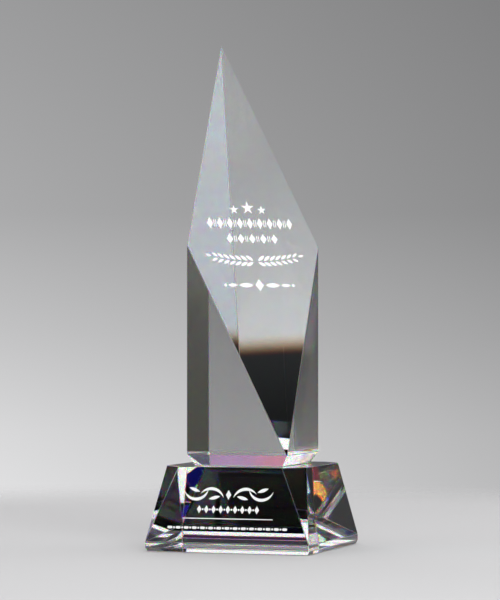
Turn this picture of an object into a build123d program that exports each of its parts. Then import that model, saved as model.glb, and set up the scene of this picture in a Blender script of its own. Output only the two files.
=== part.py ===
from build123d import *
import os
from math import atan, degrees, radians, sin, tan

# Crystal award: a square spire of optical crystal, cut by one slanted facet, bonded upright on a
# tapered crystal block. White-filled engraving decorates the facet and the front of the block.
# Millimetres. The origin is the centre of the underside, +Z is up and -Y is the front.

# Block
FOOT_SIDE = 100.0
FOOT_BAND_TOP = 5.7
FOOT_BEVEL_HEIGHT = 2.2
FOOT_BEVEL_INSET = 1.0
BLOCK_HEIGHT = 49.5
TOP_SIDE = 86.0
TOP_CORNER_CUT = 11.4
BLOCK_ARRIS = 0.45

# Bond between block and spire
BOND_THICKNESS = 0.15

# Spire
SPIRE_SIDE = 61.8
SPIRE_HEIGHT = 253.3
SPIRE_BEVEL_HEIGHT = 6.4
SPIRE_BEVEL_INSET = 3.8
SLANT_START = 5.6
SPIRE_ARRIS = 0.3

# Engraving, all cut to one depth and filled flush
ENGRAVING_DEPTH = 0.3

# Engraving on the slanted facet: heights are up the slope from the middle of the facet
STAR_HEIGHT = 24.2
STAR_RADIUS = 4.5
SIDE_STAR_RADIUS = 3.2
STAR_SPACING = 9.2

LONG_ROW_HEIGHT = 14.2
LONG_ROW_BEADS = 9
LONG_ROW_PITCH = 6.6
LONG_BEAD_WIDTH = 4.0
LONG_BEAD_HEIGHT = 7.4

SHORT_ROW_HEIGHT = 4.4
SHORT_ROW_BEADS = 5
SHORT_ROW_PITCH = 7.4
SHORT_BEAD_WIDTH = 4.4
SHORT_BEAD_HEIGHT = 6.4

REEL_WIDTH = 0.6
REEL_SPACING = 1.2
REEL_SHARE_OF_BEAD = 0.6

LAUREL_HEIGHT = -10.0
LAUREL_GAP = 3.2
LAUREL_LENGTH = 27.0
LAUREL_RISE = 3.4
LEAF_PAIRS = 7
LEAF_LENGTH = 5.6
LEAF_WIDTH = 2.1
LEAF_SHRINK = 0.25
LEAF_STAND_OFF = 0.45
UPPER_LEAF_HEADING = 36.0
LOWER_LEAF_HEADING = -26.0
END_LEAF_HEADING = 12.0

SPINDLE_HEIGHT = -25.0
SPINDLE_LOZENGE_WIDTH = 5.6
SPINDLE_LOZENGE_HEIGHT = 7.8
# Start, length and width of each spindle, outwards from the lozenge
SPINDLES = ((4.0, 9.6, 3.0), (14.2, 6.6, 2.2))
SPINDLE_DOT_REACH = 22.4
SPINDLE_DOT_RADIUS = 1.0

# Engraving on the front of the block: heights are up the slope from the top of the foot band
FLOURISH_HEIGHT = 28.2
FLOURISH_LOZENGE_WIDTH = 3.2
FLOURISH_LOZENGE_HEIGHT = 5.6
# Start, end, top of the outer arc and top of the inner arc of each scroll: outwards, then up
SCROLLS = (
    ((3.0, -1.6), (17.0, 0.6), (9.8, 4.3), (10.0, 2.6)),
    ((12.4, 3.4), (27.2, 2.2), (20.2, -3.6), (20.4, -1.9)),
)
# Root outwards, root up and heading of each leaf between the scrolls
SCROLL_LEAVES = ((5.2, -0.9, -14.0), (17.6, 1.6, 20.0))
SCROLL_LEAF_LENGTH = 7.0
SCROLL_LEAF_WIDTH = 1.9

LOZENGE_ROW_HEIGHT = 19.6
LOZENGE_COUNT = 9
LOZENGE_PITCH = 4.4
LOZENGE_WIDTH = 2.8
LOZENGE_HEIGHT = 4.6
LOZENGE_DOT_RADIUS = 0.55

RULE_HEIGHT = 14.3
RULE_LENGTH = 55.0
RULE_WIDTH = 0.5

DASH_ROW_HEIGHT = 8.8
DASH_COUNT = 15
DASH_PITCH = 5.0
DASH_LENGTH = 3.0
DASH_WIDTH = 1.5
DASH_DOT_RADIUS = 0.6

spire_foot = BLOCK_HEIGHT + BOND_THICKNESS
spire_tip = spire_foot + SPIRE_HEIGHT
half_spire = SPIRE_SIDE / 2
half_foot = FOOT_SIDE / 2
half_top = TOP_SIDE / 2
taper_height = BLOCK_HEIGHT - FOOT_BAND_TOP

# The slanted facet runs from low on the front right edge up to the tip on the rear left edge.
# Its X runs level from the left edge to the right edge, its Y straight up the slope.
slant_low = Vector(half_spire, -half_spire, spire_foot + SLANT_START)
slant_high = Vector(-half_spire, half_spire, spire_tip)
slant_level = Vector(1, 1, 0).normalized()
slant = Plane(
    origin=(slant_low + slant_high) / 2,
    x_dir=slant_level,
    z_dir=slant_level.cross(slant_high - slant_low),
)

# The front of the block leans back from the top of the foot band. Its Y runs up the slope.
front = Plane(
    origin=(0, -half_foot, FOOT_BAND_TOP),
    x_dir=(1, 0, 0),
    z_dir=(0, -taper_height, half_foot - half_top),
)


def arris_planes(solid, width):
    """Cutting planes for the small polished flat of this width along every edge of a convex solid."""
    planes = []
    for edge in solid.edges():
        sides = [face.normal_at() for face in solid.faces() if edge in face.edges()]
        outward = (sides[0] + sides[1]).normalized()
        turn = radians(sides[0].get_angle(sides[1]))
        depth = width / 2 * tan(turn / 2)
        planes.append(Plane(origin=edge @ 0.5 - outward * depth, z_dir=outward))
    return planes


def facing(side, heading):
    """A heading measured from straight outwards, for the left side (-1) or the right side (1)."""
    return heading if side > 0 else 180 - heading


def leaf(root, heading, length, width):
    """A pointed leaf: two equal arcs from its root to its tip."""
    along = Vector(length, 0).rotate(Axis.Z, heading)
    across = Vector(0, width / 2).rotate(Axis.Z, heading)
    tip = root + along
    middle = root + along / 2
    with BuildLine() as outline:
        ThreePointArc(root, middle + across, tip)
        ThreePointArc(tip, middle - across, root)
    make_face(outline.edges())


def laurel_branch(side):
    """Half a wreath, rising outwards as a shallow parabola. side is -1 for left and 1 for right."""
    for pair in range(LEAF_PAIRS):
        share = pair / LEAF_PAIRS
        size = 1 - LEAF_SHRINK * share
        reach = LAUREL_GAP / 2 + LAUREL_LENGTH * share
        root = Vector(side * reach, LAUREL_HEIGHT + LAUREL_RISE * share**2)
        for heading, above in ((UPPER_LEAF_HEADING, 1), (LOWER_LEAF_HEADING, -1)):
            foot = root + Vector(0, above * LEAF_STAND_OFF)
            leaf(foot, facing(side, heading), LEAF_LENGTH * size, LEAF_WIDTH * size)
    end = Vector(side * (LAUREL_GAP / 2 + LAUREL_LENGTH), LAUREL_HEIGHT + LAUREL_RISE)
    size = 1 - LEAF_SHRINK
    leaf(end, facing(side, END_LEAF_HEADING), LEAF_LENGTH * size, LEAF_WIDTH * size)


def star(centre, radius):
    """A regular five-pointed star, one point up. Its inner corners lie on the lines between points."""
    inner = radius * sin(radians(18)) / sin(radians(54))
    points = [
        centre + Vector(0, inner if step % 2 else radius).rotate(Axis.Z, 36 * step) for step in range(10)
    ]
    with BuildLine() as outline:
        Polyline(*points, close=True)
    make_face(outline.edges())


def lozenge(centre, width, height):
    """An upright diamond."""
    with BuildLine() as outline:
        Polyline(
            centre + Vector(width / 2, 0),
            centre + Vector(0, height / 2),
            centre - Vector(width / 2, 0),
            centre - Vector(0, height / 2),
            close=True,
        )
    make_face(outline.edges())


def bead_and_reel(level, count, pitch, bead_width, bead_height):
    """A level row of lozenge beads with two slim upright reels between each two beads."""
    first = -(count - 1) / 2 * pitch
    for bead in range(count):
        lozenge(Vector(first + bead * pitch, level), bead_width, bead_height)
    for gap in range(count - 1):
        for side in (-1, 1):
            with Locations((first + (gap + 0.5) * pitch + side * REEL_SPACING / 2, level)):
                Rectangle(REEL_WIDTH, bead_height * REEL_SHARE_OF_BEAD)


def crescent(start, end, outer, inner):
    """A stroke that swells between two pointed ends: an outer arc and a shallower inner arc."""
    with BuildLine() as outline:
        ThreePointArc(start, outer, end)
        ThreePointArc(end, inner, start)
    make_face(outline.edges())


os.makedirs("parts", exist_ok=True)

# Engraved ornament on the slanted facet
with BuildSketch(slant) as star_row:
    star(Vector(0, STAR_HEIGHT), STAR_RADIUS)
    for side in (-1, 1):
        star(Vector(side * STAR_SPACING, STAR_HEIGHT - STAR_RADIUS + SIDE_STAR_RADIUS), SIDE_STAR_RADIUS)

with BuildSketch(slant) as long_bead_row:
    bead_and_reel(LONG_ROW_HEIGHT, LONG_ROW_BEADS, LONG_ROW_PITCH, LONG_BEAD_WIDTH, LONG_BEAD_HEIGHT)

with BuildSketch(slant) as short_bead_row:
    bead_and_reel(SHORT_ROW_HEIGHT, SHORT_ROW_BEADS, SHORT_ROW_PITCH, SHORT_BEAD_WIDTH, SHORT_BEAD_HEIGHT)

with BuildSketch(slant) as laurel_left:
    laurel_branch(-1)

with BuildSketch(slant) as laurel_right:
    laurel_branch(1)

with BuildSketch(slant) as spindle_row:
    lozenge(Vector(0, SPINDLE_HEIGHT), SPINDLE_LOZENGE_WIDTH, SPINDLE_LOZENGE_HEIGHT)
    for side in (-1, 1):
        for start, length, width in SPINDLES:
            leaf(Vector(side * start, SPINDLE_HEIGHT), facing(side, 0), length, width)
        with Locations((side * SPINDLE_DOT_REACH, SPINDLE_HEIGHT)):
            Circle(SPINDLE_DOT_RADIUS)

# Engraved ornament on the front of the block
with BuildSketch(front) as flourish:
    lozenge(Vector(0, FLOURISH_HEIGHT), FLOURISH_LOZENGE_WIDTH, FLOURISH_LOZENGE_HEIGHT)
    for side in (-1, 1):
        for scroll in SCROLLS:
            crescent(*[Vector(side * along, FLOURISH_HEIGHT + up) for along, up in scroll])
        for along, up, heading in SCROLL_LEAVES:
            root = Vector(side * along, FLOURISH_HEIGHT + up)
            leaf(root, facing(side, heading), SCROLL_LEAF_LENGTH, SCROLL_LEAF_WIDTH)

with BuildSketch(front) as lozenge_row:
    for place in range(LOZENGE_COUNT):
        along = (place - (LOZENGE_COUNT - 1) / 2) * LOZENGE_PITCH
        lozenge(Vector(along, LOZENGE_ROW_HEIGHT), LOZENGE_WIDTH, LOZENGE_HEIGHT)
    with Locations((0, LOZENGE_ROW_HEIGHT)):
        with GridLocations(LOZENGE_PITCH, 0, LOZENGE_COUNT - 1, 1):
            Circle(LOZENGE_DOT_RADIUS)

with BuildSketch(front) as rule:
    with Locations((0, RULE_HEIGHT)):
        Rectangle(RULE_LENGTH, RULE_WIDTH)

with BuildSketch(front) as dash_row:
    with Locations((0, DASH_ROW_HEIGHT)):
        with GridLocations(DASH_PITCH, 0, DASH_COUNT, 1):
            SlotOverall(DASH_LENGTH, DASH_WIDTH)
        with GridLocations(DASH_PITCH, 0, DASH_COUNT - 1, 1):
            Circle(DASH_DOT_RADIUS)

spire_engraving = {
    "star_row": star_row,
    "long_bead_row": long_bead_row,
    "short_bead_row": short_bead_row,
    "laurel_left": laurel_left,
    "laurel_right": laurel_right,
    "spindle_row": spindle_row,
}
block_engraving = {
    "flourish": flourish,
    "lozenge_row": lozenge_row,
    "rule": rule,
    "dash_row": dash_row,
}

# The block: a square foot band, four leaning sides, and four triangular corner facets that start at
# the top corners of the foot band and widen upwards.
with BuildPart() as crystal_block:
    with BuildSketch():
        Rectangle(FOOT_SIDE, FOOT_SIDE)
    extrude(amount=FOOT_BAND_TOP)
    with BuildSketch(Plane.XY.offset(FOOT_BAND_TOP)):
        Rectangle(FOOT_SIDE, FOOT_SIDE)
    extrude(amount=taper_height, taper=degrees(atan((half_foot - half_top) / taper_height)))
    underside = crystal_block.faces().sort_by(Axis.Z)[0]
    chamfer(underside.edges(), length=FOOT_BEVEL_INSET, length2=FOOT_BEVEL_HEIGHT, reference=underside)
    for quarter in range(4):
        low_corner = Vector(half_foot, half_foot, FOOT_BAND_TOP)
        high_corner = Vector(half_top, half_top, BLOCK_HEIGHT) - Vector(1, 1, 0) * (TOP_CORNER_CUT / 2)
        level = Vector(-1, 1, 0)
        corner_cut = Plane(
            origin=low_corner.rotate(Axis.Z, 90 * quarter),
            z_dir=level.cross(high_corner - low_corner).rotate(Axis.Z, 90 * quarter),
        )
        split(bisect_by=corner_cut, keep=Keep.BOTTOM)
    for arris in arris_planes(crystal_block.solid(), BLOCK_ARRIS):
        split(bisect_by=arris, keep=Keep.BOTTOM)
    for ornament in block_engraving.values():
        extrude(ornament.sketch, amount=-ENGRAVING_DEPTH, mode=Mode.SUBTRACT)
crystal_block.part.label = "crystal_block"

# The spire: a square prism with a bevelled foot, sliced by the slanted facet.
with BuildPart() as crystal_spire:
    with BuildSketch(Plane.XY.offset(spire_foot)):
        Rectangle(SPIRE_SIDE, SPIRE_SIDE)
    extrude(amount=SPIRE_HEIGHT + SLANT_START)
    foot_face = crystal_spire.faces().sort_by(Axis.Z)[0]
    chamfer(foot_face.edges(), length=SPIRE_BEVEL_INSET, length2=SPIRE_BEVEL_HEIGHT, reference=foot_face)
    split(bisect_by=slant, keep=Keep.BOTTOM)
    for arris in arris_planes(crystal_spire.solid(), SPIRE_ARRIS):
        split(bisect_by=arris, keep=Keep.BOTTOM)
    for ornament in spire_engraving.values():
        extrude(ornament.sketch, amount=-ENGRAVING_DEPTH, mode=Mode.SUBTRACT)
crystal_spire.part.label = "crystal_spire"

# The film of clear adhesive under the flat of the spire's foot
with BuildPart() as bond_film:
    with BuildSketch(Plane.XY.offset(BLOCK_HEIGHT)):
        Rectangle(SPIRE_SIDE - 2 * SPIRE_BEVEL_INSET, SPIRE_SIDE - 2 * SPIRE_BEVEL_INSET)
    extrude(amount=BOND_THICKNESS)
bond_film.part.label = "bond_film"

export_step(crystal_block.part, "parts/crystal_block.step")
export_step(crystal_spire.part, "parts/crystal_spire.step")
export_step(bond_film.part, "parts/bond_film.step")

# The white fill of each ornament, flush with the crystal around it
for name, ornament in (spire_engraving | block_engraving).items():
    with BuildPart() as fill:
        extrude(ornament.sketch, amount=-ENGRAVING_DEPTH)
    fill.part.label = name + "_fill"
    export_step(fill.part, "parts/" + name + "_fill.step")
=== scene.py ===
# %% [markdown]
# # A crystal award
# The award is a tall square spire of clear optical crystal, cut by one slanted facet and glued upright on
# a tapered crystal block. White ornament is engraved in the slanted facet and in the front of the block.
# Clear crystal has no colour of its own: it shows what stands around it, bent and folded by its facets.
# So this lesson is mostly about three things: glass that splits light into colours, a studio that gives
# the facets something to show, and small traces of making, such as polishing and blasted pockets.

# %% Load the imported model
import math

import bpy
import numpy as np
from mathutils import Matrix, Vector


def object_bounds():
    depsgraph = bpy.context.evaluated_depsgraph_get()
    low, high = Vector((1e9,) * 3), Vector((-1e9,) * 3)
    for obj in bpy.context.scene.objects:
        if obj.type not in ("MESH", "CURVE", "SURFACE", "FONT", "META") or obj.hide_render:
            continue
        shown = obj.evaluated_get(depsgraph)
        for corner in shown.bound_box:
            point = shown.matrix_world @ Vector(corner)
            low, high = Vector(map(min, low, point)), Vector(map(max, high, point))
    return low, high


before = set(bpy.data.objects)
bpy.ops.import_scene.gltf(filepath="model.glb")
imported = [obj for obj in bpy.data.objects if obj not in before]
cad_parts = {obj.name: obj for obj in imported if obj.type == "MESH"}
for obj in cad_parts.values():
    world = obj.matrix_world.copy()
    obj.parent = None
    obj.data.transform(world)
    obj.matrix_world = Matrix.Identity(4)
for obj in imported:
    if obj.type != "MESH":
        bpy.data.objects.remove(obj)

cad_box = [list(corner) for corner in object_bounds()]
print("CAD box", cad_box)

MM = 0.001
TOP = cad_box[1][2]


# %% [markdown]
# ## Three small helpers
# Every material below is a node tree. One function adds a node with its settings and its links, so a
# tree reads as a list of what feeds what, and another starts a material with nothing in it. Colours are
# written as sRGB hex, as on a paint card, and the third function turns them into the linear values that
# light adds up in.

# %% Helpers for nodes and colours
def linear(hex_colour, strength=1.0):
    """sRGB hex to linear RGBA: low values are divided by 12.92, the rest follow a power of 2.4.

    A strength other than 1 multiplies red, green and blue, for a colour that gives light.
    """
    srgb = np.array([int(hex_colour[i : i + 2], 16) for i in (1, 3, 5)]) / 255
    light = np.where(srgb <= 0.04045, srgb / 12.92, ((srgb + 0.055) / 1.055) ** 2.4)
    return (*(strength * light).tolist(), 1.0)


def add(tree, kind, links=None, **settings):
    """Adds a node. links maps an input's name or number to the output that feeds it, or to a value."""
    node = tree.nodes.new(kind)
    for name, value in settings.items():
        setattr(node, name, value)
    for socket, source in (links or {}).items():
        if isinstance(source, bpy.types.NodeSocket):
            tree.links.new(source, node.inputs[socket])
        else:
            node.inputs[socket].default_value = source
    return node


def material(name):
    """An empty material with its output node, ready for a surface."""
    made = bpy.data.materials.new(name)
    made.use_nodes = True
    made.node_tree.nodes.clear()
    return made, made.node_tree, add(made.node_tree, "ShaderNodeOutputMaterial")


# %% [markdown]
# ## Optical crystal
# The real pieces are optical glass, sawn, ground and polished on a flat lap. Its index is about 1.518, and
# it is a little higher for blue than for red, which is why cut edges throw small rainbows. The adhesive
# between the two crystals bends light a little less, at about 1.50. A single glass shader has one index,
# so it can't split light. Three glass shaders can: one favours red, one green and one blue, each with
# its own index, and mixed in equal parts they add up to clear glass. Pure red, green and blue would split
# the light cleanly too, but most paths through several facets would then carry nothing, and the picture
# would be grainy. So each shader only favours its colour. The split is drawn wider than the real one,
# because the eye sees it in sparkles that are finer than a render can show.
# Hand polishing leaves the flats very slightly wavy. A faint bump gives the straight lines seen through
# the crystal the life of the real thing. The narrow arrises along the edges get a lighter polish than the
# facets, and the walls of the blasted pockets get none. Both scatter some light, so every edge is drawn
# as a fine line. They are told apart by area: a direction in which a piece has little surface isn't a
# facet's.

# %% Large facets of a piece
def facet_directions(node, least_area):
    """The directions that hold at least this area in mm2: face areas summed by rounded normal."""
    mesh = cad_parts[node].data
    normals = np.empty(len(mesh.polygons) * 3)
    areas = np.empty(len(mesh.polygons))
    mesh.polygons.foreach_get("normal", normals)
    mesh.polygons.foreach_get("area", areas)
    rounded = normals.reshape(-1, 3).round(2) + 0.0  # adding zero turns -0.0 into 0.0
    directions, kind = np.unique(rounded, axis=0, return_inverse=True)
    summed = np.bincount(kind.ravel(), areas) / MM**2
    large = directions[summed >= least_area]
    print(node, "has", len(large), "large facets")
    return [Vector(direction).normalized() for direction in large]


# %% Crystal material
FAVOURED, OTHERS = 2.2, 0.4  # what one shader passes of its own colour and of the other two: 3 in all
ARRIS_ROUGHNESS = 0.35
SAME_WAY = 0.9985  # the cosine of 3 degrees: closer than that, a face looks the way of a facet


def off_facets(tree, facets):
    """1 where the surface looks the way of none of the facets, from inside or outside, and 0 on them."""
    normal = add(tree, "ShaderNodeTexCoord").outputs["Normal"]
    closest = 0.0
    for facet in facets:
        along = add(tree, "ShaderNodeVectorMath", {0: normal, 1: facet}, operation="DOT_PRODUCT")
        either_way = add(tree, "ShaderNodeMath", {0: along.outputs["Value"]}, operation="ABSOLUTE")
        closest = add(
            tree, "ShaderNodeMath", {0: closest, 1: either_way.outputs[0]}, operation="MAXIMUM"
        ).outputs[0]
    return add(tree, "ShaderNodeMath", {0: closest, 1: SAME_WAY}, operation="LESS_THAN").outputs[0]


def optical_crystal(name, facets, index, spread, wave_mm, wave_height_mm):
    """Clear glass that splits light. index is for green, spread is the step to red and to blue.

    The waves that polishing leaves are wave_mm long, on a bump of wave_height_mm.
    """
    made, tree, output = material(name)
    satin = add(
        tree, "ShaderNodeMath", {0: off_facets(tree, facets), 1: ARRIS_ROUGHNESS}, operation="MULTIPLY"
    )
    place = add(tree, "ShaderNodeTexCoord").outputs["Object"]
    ripple = add(
        tree,
        "ShaderNodeTexNoise",
        {"Vector": place, "Scale": 1 / (wave_mm * MM), "Detail": 1.0, "Roughness": 0.4},
    )
    polish = add(
        tree,
        "ShaderNodeBump",
        {"Height": ripple.outputs["Fac"], "Distance": wave_height_mm * MM, "Strength": 1.0},
    )
    shaders = []
    for channel, step in enumerate((-spread, 0.0, spread)):
        passed = [OTHERS, OTHERS, OTHERS, 1.0]
        passed[channel] = FAVOURED
        glass = add(
            tree,
            "ShaderNodeBsdfGlass",
            {
                "Color": passed,
                "Roughness": satin.outputs[0],
                "IOR": index + step,
                "Normal": polish.outputs["Normal"],
            },
        )
        shaders.append(glass.outputs[0])
    warm = add(tree, "ShaderNodeMixShader", {0: 1 / 2, 1: shaders[0], 2: shaders[1]})
    clear = add(tree, "ShaderNodeMixShader", {0: 1 / 3, 1: warm.outputs[0], 2: shaders[2]})
    tree.links.new(clear.outputs[0], output.inputs["Surface"])
    return made


spire_crystal = optical_crystal(
    "polished_optical_crystal_spire",
    facet_directions("crystal_spire", least_area=120),
    index=1.518,
    spread=0.010,
    wave_mm=22,
    wave_height_mm=0.0012,
)
block_crystal = optical_crystal(
    "polished_optical_crystal_block",
    facet_directions("crystal_block", least_area=120),
    index=1.518,
    spread=0.013,
    wave_mm=18,
    wave_height_mm=0.0010,
)
cured_adhesive = optical_crystal(
    "cured_clear_adhesive",
    facet_directions("bond_film", least_area=5),
    index=1.500,
    spread=0.004,
    wave_mm=6,
    wave_height_mm=0.0005,
)
print("crystal passes", FAVOURED + 2 * OTHERS, "over three shaders, so it has no tint")


# %% [markdown]
# ## White fill in blasted pockets
# The ornament is cut by a jet of grit through a mask, 0.3 mm deep, and rubbed full of white paint. The
# paint is matt, because it dries over the pits that the grit left, and its cover is a little uneven. It is
# the only opaque thing in the award, so it is what the eye reads first.

# %% White fill material
PIT_DEPTH_MM = 0.05
SMOOTHEST, ROUGHEST = 0.55, 0.75  # the paint's roughness, from pit to pit


def white_fill(name, grit_mm, cover_mm):
    """Matt white with pits of grit_mm and patches of thinner cover of cover_mm."""
    made, tree, output = material(name)
    place = add(tree, "ShaderNodeTexCoord").outputs["Object"]
    cover = add(tree, "ShaderNodeTexNoise", {"Vector": place, "Scale": 1 / (cover_mm * MM), "Detail": 3.0})
    grit = add(tree, "ShaderNodeTexNoise", {"Vector": place, "Scale": 1 / (grit_mm * MM), "Detail": 2.0})
    tint = add(
        tree,
        "ShaderNodeMix",
        {0: cover.outputs["Fac"], 6: linear("#F2F3F4"), 7: linear("#FDFDFC")},
        data_type="RGBA",
    )
    rough = add(
        tree,
        "ShaderNodeMapRange",
        {"Value": grit.outputs["Fac"], "To Min": SMOOTHEST, "To Max": ROUGHEST},
    )
    pits = add(
        tree,
        "ShaderNodeBump",
        {"Height": grit.outputs["Fac"], "Distance": PIT_DEPTH_MM * MM, "Strength": 0.4},
    )
    paint = add(
        tree,
        "ShaderNodeBsdfPrincipled",
        {
            "Base Color": tint.outputs[2],
            "Roughness": rough.outputs[0],
            "IOR": 1.5,
            "Normal": pits.outputs["Normal"],
        },
    )
    tree.links.new(paint.outputs[0], output.inputs["Surface"])
    return made


matt_white_fill = white_fill("matt_white_paint_in_blasted_glass", grit_mm=0.25, cover_mm=3)
print("white paint over pits", PIT_DEPTH_MM, "mm deep")


# %% [markdown]
# ## Dressing the model
# Every solid of the model already has its final shape, down to the arrises along its edges, so each one
# only needs its finish. All ten fills share one paint, as they do on the bench.

# %% Dress the solids
def dress(node, finish):
    """Puts one finish in every material slot of a solid."""
    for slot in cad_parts[node].material_slots:
        slot.material = finish


dress("crystal_spire", spire_crystal)
dress("crystal_block", block_crystal)
dress("bond_film", cured_adhesive)
fills = sorted(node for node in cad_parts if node.endswith("_fill"))
for node in fills:
    dress(node, matt_white_fill)
print(len(fills), "white fills:", fills)


# %% [markdown]
# ## Discs for the stage
# The floor and the card under the award are both flat round sheets that turn to nothing towards their rim.
# With a soft rim, no horizon cuts across the backdrop or through the crystal.

# %% A disc that fades out
RIM_POINTS = 96


def fade_out(tree, output, surface, start, end):
    """Shows a surface that turns to nothing between two distances from the award's foot, in metres."""
    place = add(tree, "ShaderNodeTexCoord").outputs["Object"]
    reach = add(tree, "ShaderNodeVectorMath", {0: place}, operation="LENGTH").outputs["Value"]
    gone = add(
        tree,
        "ShaderNodeMapRange",
        {"Value": reach, "From Min": start, "From Max": end},
        interpolation_type="SMOOTHSTEP",
    )
    nothing = add(tree, "ShaderNodeBsdfTransparent")
    fading = add(tree, "ShaderNodeMixShader", {0: gone.outputs[0], 1: surface, 2: nothing.outputs[0]})
    tree.links.new(fading.outputs[0], output.inputs["Surface"])
    return reach


def disc(name, radius, level, finish):
    """A flat round sheet: its rim is radius times the cosine and sine of an even turn."""
    turn = np.linspace(0, 2 * np.pi, RIM_POINTS, endpoint=False)
    rim = np.stack([radius * np.cos(turn), radius * np.sin(turn), np.full(turn.size, level)], axis=1)
    mesh = bpy.data.meshes.new(name)
    mesh.from_pydata(rim.tolist(), [], [list(range(turn.size))])
    mesh.materials.append(finish)
    made = bpy.data.objects.new(name, mesh)
    bpy.context.scene.collection.objects.link(made)
    print(name, "is", round(2 * radius, 2), "m across")
    return made


# %% [markdown]
# ## Floor
# The award stands on a sheet of pale grey paper. It lies a hair under the foot, so that the two surfaces
# never share a plane. What shows through the crystal isn't this sheet, but the disc of the next step.

# %% Pale floor
FLOOR_RADIUS = 0.75
FLOOR_FADE_START = 0.40
FLOOR_LEVEL = -0.2 * MM

pale, tree, output = material("pale_floor")
paper = add(tree, "ShaderNodeBsdfPrincipled", {"Base Color": linear("#B9BABB"), "Roughness": 0.6})
fade_out(tree, output, paper.outputs[0], FLOOR_FADE_START, FLOOR_RADIUS)
floor = disc("floor", FLOOR_RADIUS, FLOOR_LEVEL, pale)
floor.visible_transmission = False


# %% [markdown]
# ## Black card under the crystal
# Crystal stood on white paper looks like nothing at all: what makes its facets read is something dark to
# show. So a photographer slides a black card under it. Here the black disc is seen only through the
# crystal. It reaches far enough that the lower part of the slanted facet ends in black, and far out it
# glows with a weak painted sheen. On it lie painted glints: patches of coloured glow, in place of the
# light that the block would gather and split into orange and blue.

# %% Black card
BLACK_CARD_RADIUS = 0.64
BLACK_CARD_FADE_START = 0.56
BLACK_CARD_SHEEN_START = 0.15
BLACK_CARD_LEVEL = -0.4 * MM
# painted glints: patches of coloured glow on the card, in place of the light the block would gather and
# split
PAINTED_GLINTS = [
    # across, back and radius in mm, colour, strength
    (34, -30, 14, "#FFA048", 1.5),
    (-38, -29, 11, "#E0742C", 1.0),
    (17, -44, 9, "#2418B0", 1.0),
    (20, 20, 10, "#2418B0", 0.8),
]

black, tree, output = material("black_card")
# the card gives light of its own: a painted sheen far out and the painted glints, black elsewhere
sheen = add(tree, "ShaderNodeEmission")
reach = fade_out(tree, output, sheen.outputs[0], BLACK_CARD_FADE_START, BLACK_CARD_RADIUS)
far = add(
    tree,
    "ShaderNodeMapRange",
    {"Value": reach, "From Min": BLACK_CARD_SHEEN_START, "From Max": BLACK_CARD_FADE_START},
)
glow = add(
    tree,
    "ShaderNodeMix",
    {0: far.outputs[0], 6: linear("#000000"), 7: linear("#262829")},
    data_type="RGBA",
).outputs[2]
place = add(tree, "ShaderNodeTexCoord").outputs["Object"]
# each painted glint mixes its colour into the card's glow, fading out towards its radius
for across, back, radius, colour, strength in PAINTED_GLINTS:
    middle = Vector((across, back, 0)) * MM
    away = add(tree, "ShaderNodeVectorMath", {0: place, 1: middle}, operation="DISTANCE")
    share = add(
        tree,
        "ShaderNodeMapRange",
        {"Value": away.outputs["Value"], "From Min": radius * MM, "From Max": radius * MM / 2},
        interpolation_type="SMOOTHSTEP",
    )
    glow = add(
        tree,
        "ShaderNodeMix",
        {0: share.outputs[0], 6: glow, 7: linear(colour, strength)},
        data_type="RGBA",
    ).outputs[2]
tree.links.new(glow, sheen.inputs["Color"])
card = disc("black_card", BLACK_CARD_RADIUS, BLACK_CARD_LEVEL, black)
for ray in ("camera", "diffuse", "glossy", "shadow"):
    setattr(card, "visible_" + ray, False)
print(len(PAINTED_GLINTS), "glints on the black card")


# %% [markdown]
# ## Directions
# The studio is so far away that a place in it is only a direction: a heading and a height, in degrees.
# Heading 0 is straight behind the award, and it grows towards the right, as seen from the award's front.
# The world shader's Generated coordinates are just that direction, as a unit vector.

# %% Directions and gradients
CAMERA_HEADING = 18.42  # how far the camera stands round to the right of the award's front
BEHIND = -CAMERA_HEADING  # the heading straight behind the award, as the camera sees it


def towards(heading, height):
    """The unit vector of a direction: sine and cosine of the heading, lifted by the height."""
    across, up = math.radians(heading), math.radians(height)
    return Vector((math.sin(across) * math.cos(up), math.cos(across) * math.cos(up), math.sin(up)))


def rise_at(height):
    """How far up a direction of this height points: its sine, which is the unit vector's Z."""
    return math.sin(math.radians(height))


def gradient(tree, rise, stops):
    """A colour by height. stops are pairs of a height in degrees and a colour, from low to high."""
    low, high = rise_at(stops[0][0]), rise_at(stops[-1][0])
    share = add(tree, "ShaderNodeMapRange", {"Value": rise, "From Min": low, "From Max": high})
    made = add(tree, "ShaderNodeValToRGB", {"Fac": share.outputs[0]})
    ramp = made.color_ramp
    while len(ramp.elements) < len(stops):
        ramp.elements.new(0.5)
    for element, (height, colour) in zip(ramp.elements, stops):
        element.position = (rise_at(height) - low) / (high - low)
        element.color = linear(colour)
    return made.outputs["Color"]


world = bpy.data.worlds.new("studio")
bpy.context.scene.world = world
world.use_nodes = True
tree = world.node_tree
tree.nodes.clear()
direction = add(tree, "ShaderNodeTexCoord").outputs["Generated"]
rise = add(tree, "ShaderNodeSeparateXYZ", {0: direction}).outputs["Z"]
print("straight behind the award is heading", BEHIND)


# %% [markdown]
# ## Walls and ceiling
# What the facets see is first of all one soft gradient by height: pale near the floor, mid grey at eye
# level, darker just above it, and a bright ceiling that lifts a little more towards the top. The small
# facets mostly look up, so they catch the ceiling and sparkle, and the large ones look level, so they
# stay calm.

# %% Walls and ceiling
WALL = [
    (-25, "#D4D5D6"),
    (-12, "#D0D1D2"),
    (-8, "#A8A9AA"),
    (-2, "#949495"),
    (3, "#6C6C6E"),
    (8, "#343036"),
    (15, "#5C5860"),
    (21, "#E0DCE0"),
    (30, "#FFFFFF"),
    (90, "#FFFFFF"),
]
CEILING_START, CEILING_FULL = 21, 35  # the heights between which the ceiling lifts
CEILING_STRENGTH = 1.1

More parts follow.
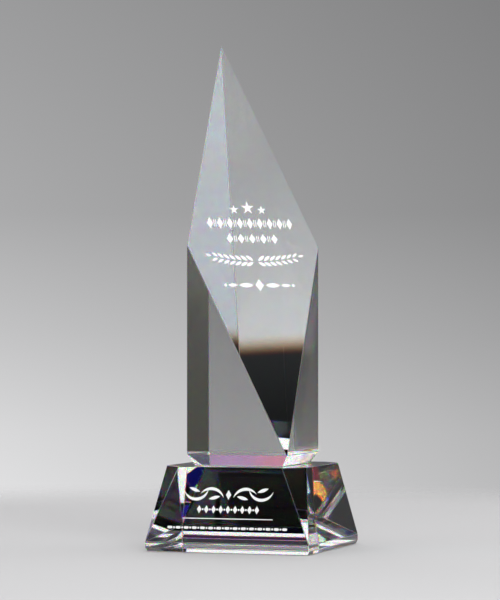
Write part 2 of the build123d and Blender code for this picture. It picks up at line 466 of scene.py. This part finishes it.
lift = add(
    tree,
    "ShaderNodeMapRange",
    {
        "Value": rise,
        "From Min": rise_at(CEILING_START),
        "From Max": rise_at(CEILING_FULL),
        "To Min": 1.0,
        "To Max": CEILING_STRENGTH,
    },
)
seen_by_facets = add(
    tree,
    "ShaderNodeVectorMath",
    {0: gradient(tree, rise, WALL), "Scale": lift.outputs[0]},
    operation="SCALE",
).outputs["Vector"]
print(len(WALL), "stops from the floor to the ceiling")


# %% [markdown]
# ## Soft cards round the award
# On top of the gradient come soft round cards, as a photographer clips pale, coloured and black sheets
# round a crystal until each facet shows something. Each one stands where one facet looks, and the comment
# beside it says which. A later card covers an earlier one.

# %% Soft cards
SOFT_CARDS = [
    # heading, height, radius and soft rim in degrees, colour, strength
    (19, -5, 2.5, 7, "#44443D", 1.0),  # seen in the left strip of the spire
    (46, -8, 7, 6, "#BCC2C9", 1.0),  # seen in the left half of the slanted facet
    (-46, 12, 7, 9, "#FFFFFF", 1.1),  # seen in the facet's low point and the spire's right foot bevel
    (BEHIND - 2, 15, 1.5, 2, "#8A749B", 1.0),  # seen in the left of the spire's front foot bevel
    (BEHIND - 0.8, 15, 0.4, 0.8, "#AD90B5", 1.0),  # seen in the middle of that bevel
    (BEHIND + 0.6, 15, 0.6, 0.8, "#C88A9A", 1.0),  # seen at its right end
    (BEHIND, 4.8, 1, 1.5, "#FFFFFF", 1.0),  # seen as two bright lines along the block's foot
    (BEHIND - 3, 27, 3, 2, "#3C2840", 1.0),  # seen just under the upper line
    (BEHIND - 2, 20, 1.5, 2, "#8C898F", 1.0),  # seen in the upright foot band
    (129, 15, 8, 8, "#FFFFFF", 1.3),  # seen in the spire's right foot bevel
    (-97, 41, 7, 6, "#D0622C", 1.2),  # seen in the right side of the block
    (-77, 40, 7, 6, "#481408", 1.0),  # seen beside that one
    (131, 37, 4, 4, "#701828", 1.0),  # seen near the top of the same side
    (79, 54, 4, 6, "#A86038", 1.0),  # seen at the very top of it
    (-32, 78, 14, 8, "#FFFFFF", 2.0),  # a lamp overhead
    (102, 34, 12, 8, "#404042", 1.0),  # mirrored by the slanted facet, dark so that it stays clear
    (-160, 15, 12, 8, "#2A2A2C", 1.0),  # mirrored by the front of the block
    (-161, 37, 5, 4, "#2A2A2C", 1.0),  # a fainter image in it, above that one
    (-66, 19, 5, 4, "#202022", 1.0),  # mirrored by the block's left front corner facet
    (115, 26, 7, 5, "#202022", 1.0),  # a faint image in its right front corner facet
    (-162, 6.5, 3.5, 2.5, "#080A50", 1.0),  # seen as a blue patch at the upper left of the block's front
]


def cosine(degrees):
    """The cosine of an angle in degrees: what two unit vectors that far apart multiply to."""
    return math.cos(math.radians(degrees))


for heading, height, radius, rim, colour, strength in SOFT_CARDS:
    nearness = add(
        tree, "ShaderNodeVectorMath", {0: direction, 1: towards(heading, height)}, operation="DOT_PRODUCT"
    )
    share = add(
        tree,
        "ShaderNodeMapRange",
        {
            "Value": nearness.outputs["Value"],
            "From Min": cosine(radius + rim),
            "From Max": cosine(radius),
        },
        interpolation_type="SMOOTHSTEP",
    )
    seen_by_facets = add(
        tree,
        "ShaderNodeMix",
        {0: share.outputs[0], 6: seen_by_facets, 7: linear(colour, strength)},
        data_type="RGBA",
    ).outputs[2]
print(len(SOFT_CARDS), "soft cards round the award")


# %% [markdown]
# ## Backdrop
# What the lens sees directly is plainer than what the facets see: a backdrop that is pale at the floor,
# greyer above, and a little lighter on its left. The Light Path node tells the two apart.

# %% Backdrop
BACKDROP = [(-4, "#D4D4D5"), (-2, "#C8C8C9"), (0, "#B4B4B5"), (2.4, "#9D9D9E"), (7, "#8E8E8F")]
BACKDROP_SIDE = 0.09  # about the sine of the angle from the middle to either side of the view
BACKDROP_LEFT, BACKDROP_RIGHT = 1.2, 0.8

sideways = add(
    tree, "ShaderNodeVectorMath", {0: direction, 1: towards(BEHIND + 90, 0)}, operation="DOT_PRODUCT"
)
fall_off = add(
    tree,
    "ShaderNodeMapRange",
    {
        "Value": sideways.outputs["Value"],
        "From Min": -BACKDROP_SIDE,
        "From Max": BACKDROP_SIDE,
        "To Min": BACKDROP_LEFT,
        "To Max": BACKDROP_RIGHT,
    },
)
seen_by_lens = add(
    tree,
    "ShaderNodeVectorMath",
    {0: gradient(tree, rise, BACKDROP), "Scale": fall_off.outputs[0]},
    operation="SCALE",
)
studio = add(tree, "ShaderNodeBackground", {"Color": seen_by_facets})
backdrop = add(tree, "ShaderNodeBackground", {"Color": seen_by_lens.outputs["Vector"]})
path = add(tree, "ShaderNodeLightPath")
either = add(
    tree,
    "ShaderNodeMixShader",
    {0: path.outputs["Is Camera Ray"], 1: studio.outputs[0], 2: backdrop.outputs[0]},
)
add(tree, "ShaderNodeOutputWorld", {"Surface": either.outputs[0]})
print(len(tree.nodes), "nodes make the studio")


# %% [markdown]
# ## Softboxes
# Two soft lamps light what is opaque: the white fills and the floor. They are kept out of the facets,
# which already have their own studio.

# %% Softboxes
def softbox(name, heading, height, distance, side, brightness):
    """A square area light aimed at the middle of the award. Its power grows with its area."""
    data = bpy.data.lights.new(name, "AREA")
    data.shape = "SQUARE"
    data.size = side
    data.energy = brightness * math.pi * side**2
    lamp = bpy.data.objects.new(name, data)
    bpy.context.scene.collection.objects.link(lamp)
    aim = Vector((0, 0, TOP / 2))
    lamp.location = aim + towards(heading, height) * distance
    lamp.rotation_mode = "QUATERNION"
    lamp.rotation_quaternion = (aim - lamp.location).to_track_quat("-Z", "Y")
    lamp.visible_glossy = False
    lamp.visible_transmission = False
    print(name, "gives", round(data.energy, 1), "W")


softbox("key", heading=150, height=35, distance=1.6, side=1.0, brightness=4.5)
softbox("overhead", heading=0, height=85, distance=1.8, side=1.2, brightness=1.0)


# %% [markdown]
# ## Camera
# A long lens from a little under half the award's height, so that its upright edges stay upright. Light
# that goes through both crystals turns many corners on its way, so a path may bounce often before it is
# dropped: too few bounces would leave false black in the deep facets. The Standard view shows the studio's
# greys and whites as they were chosen.

# %% Camera
CAMERA_DISTANCE = 1.70  # metres, as are the next two
CAMERA_HEIGHT = 0.1273
CAMERA_ASIDE = 0.0020  # to the left of a line straight at the award's middle
CAMERA_TILT = 0.66  # degrees upwards
SENSOR_WIDTH = 36.0  # millimetres, as is the focal length
FOCAL_LENGTH = 171.6
CRYSTAL_BOUNCES = 24
MIRROR_BOUNCES = 16

lens = bpy.data.cameras.new("camera")
lens.sensor_width = SENSOR_WIDTH
lens.lens = FOCAL_LENGTH
camera = bpy.data.objects.new("camera", lens)
scene = bpy.context.scene
scene.collection.objects.link(camera)
back_to_camera = -towards(BEHIND, 0) * CAMERA_DISTANCE
to_the_left = towards(BEHIND - 90, 0) * CAMERA_ASIDE
camera.location = back_to_camera + to_the_left + Vector((0, 0, CAMERA_HEIGHT))
camera.rotation_euler = (math.radians(90 + CAMERA_TILT), 0, math.radians(CAMERA_HEADING))
scene.camera = camera
scene.view_settings.view_transform = "Standard"
scene.cycles.max_bounces = CRYSTAL_BOUNCES
scene.cycles.transmission_bounces = CRYSTAL_BOUNCES
scene.cycles.glossy_bounces = MIRROR_BOUNCES
print("camera at", [round(value, 4) for value in camera.location])
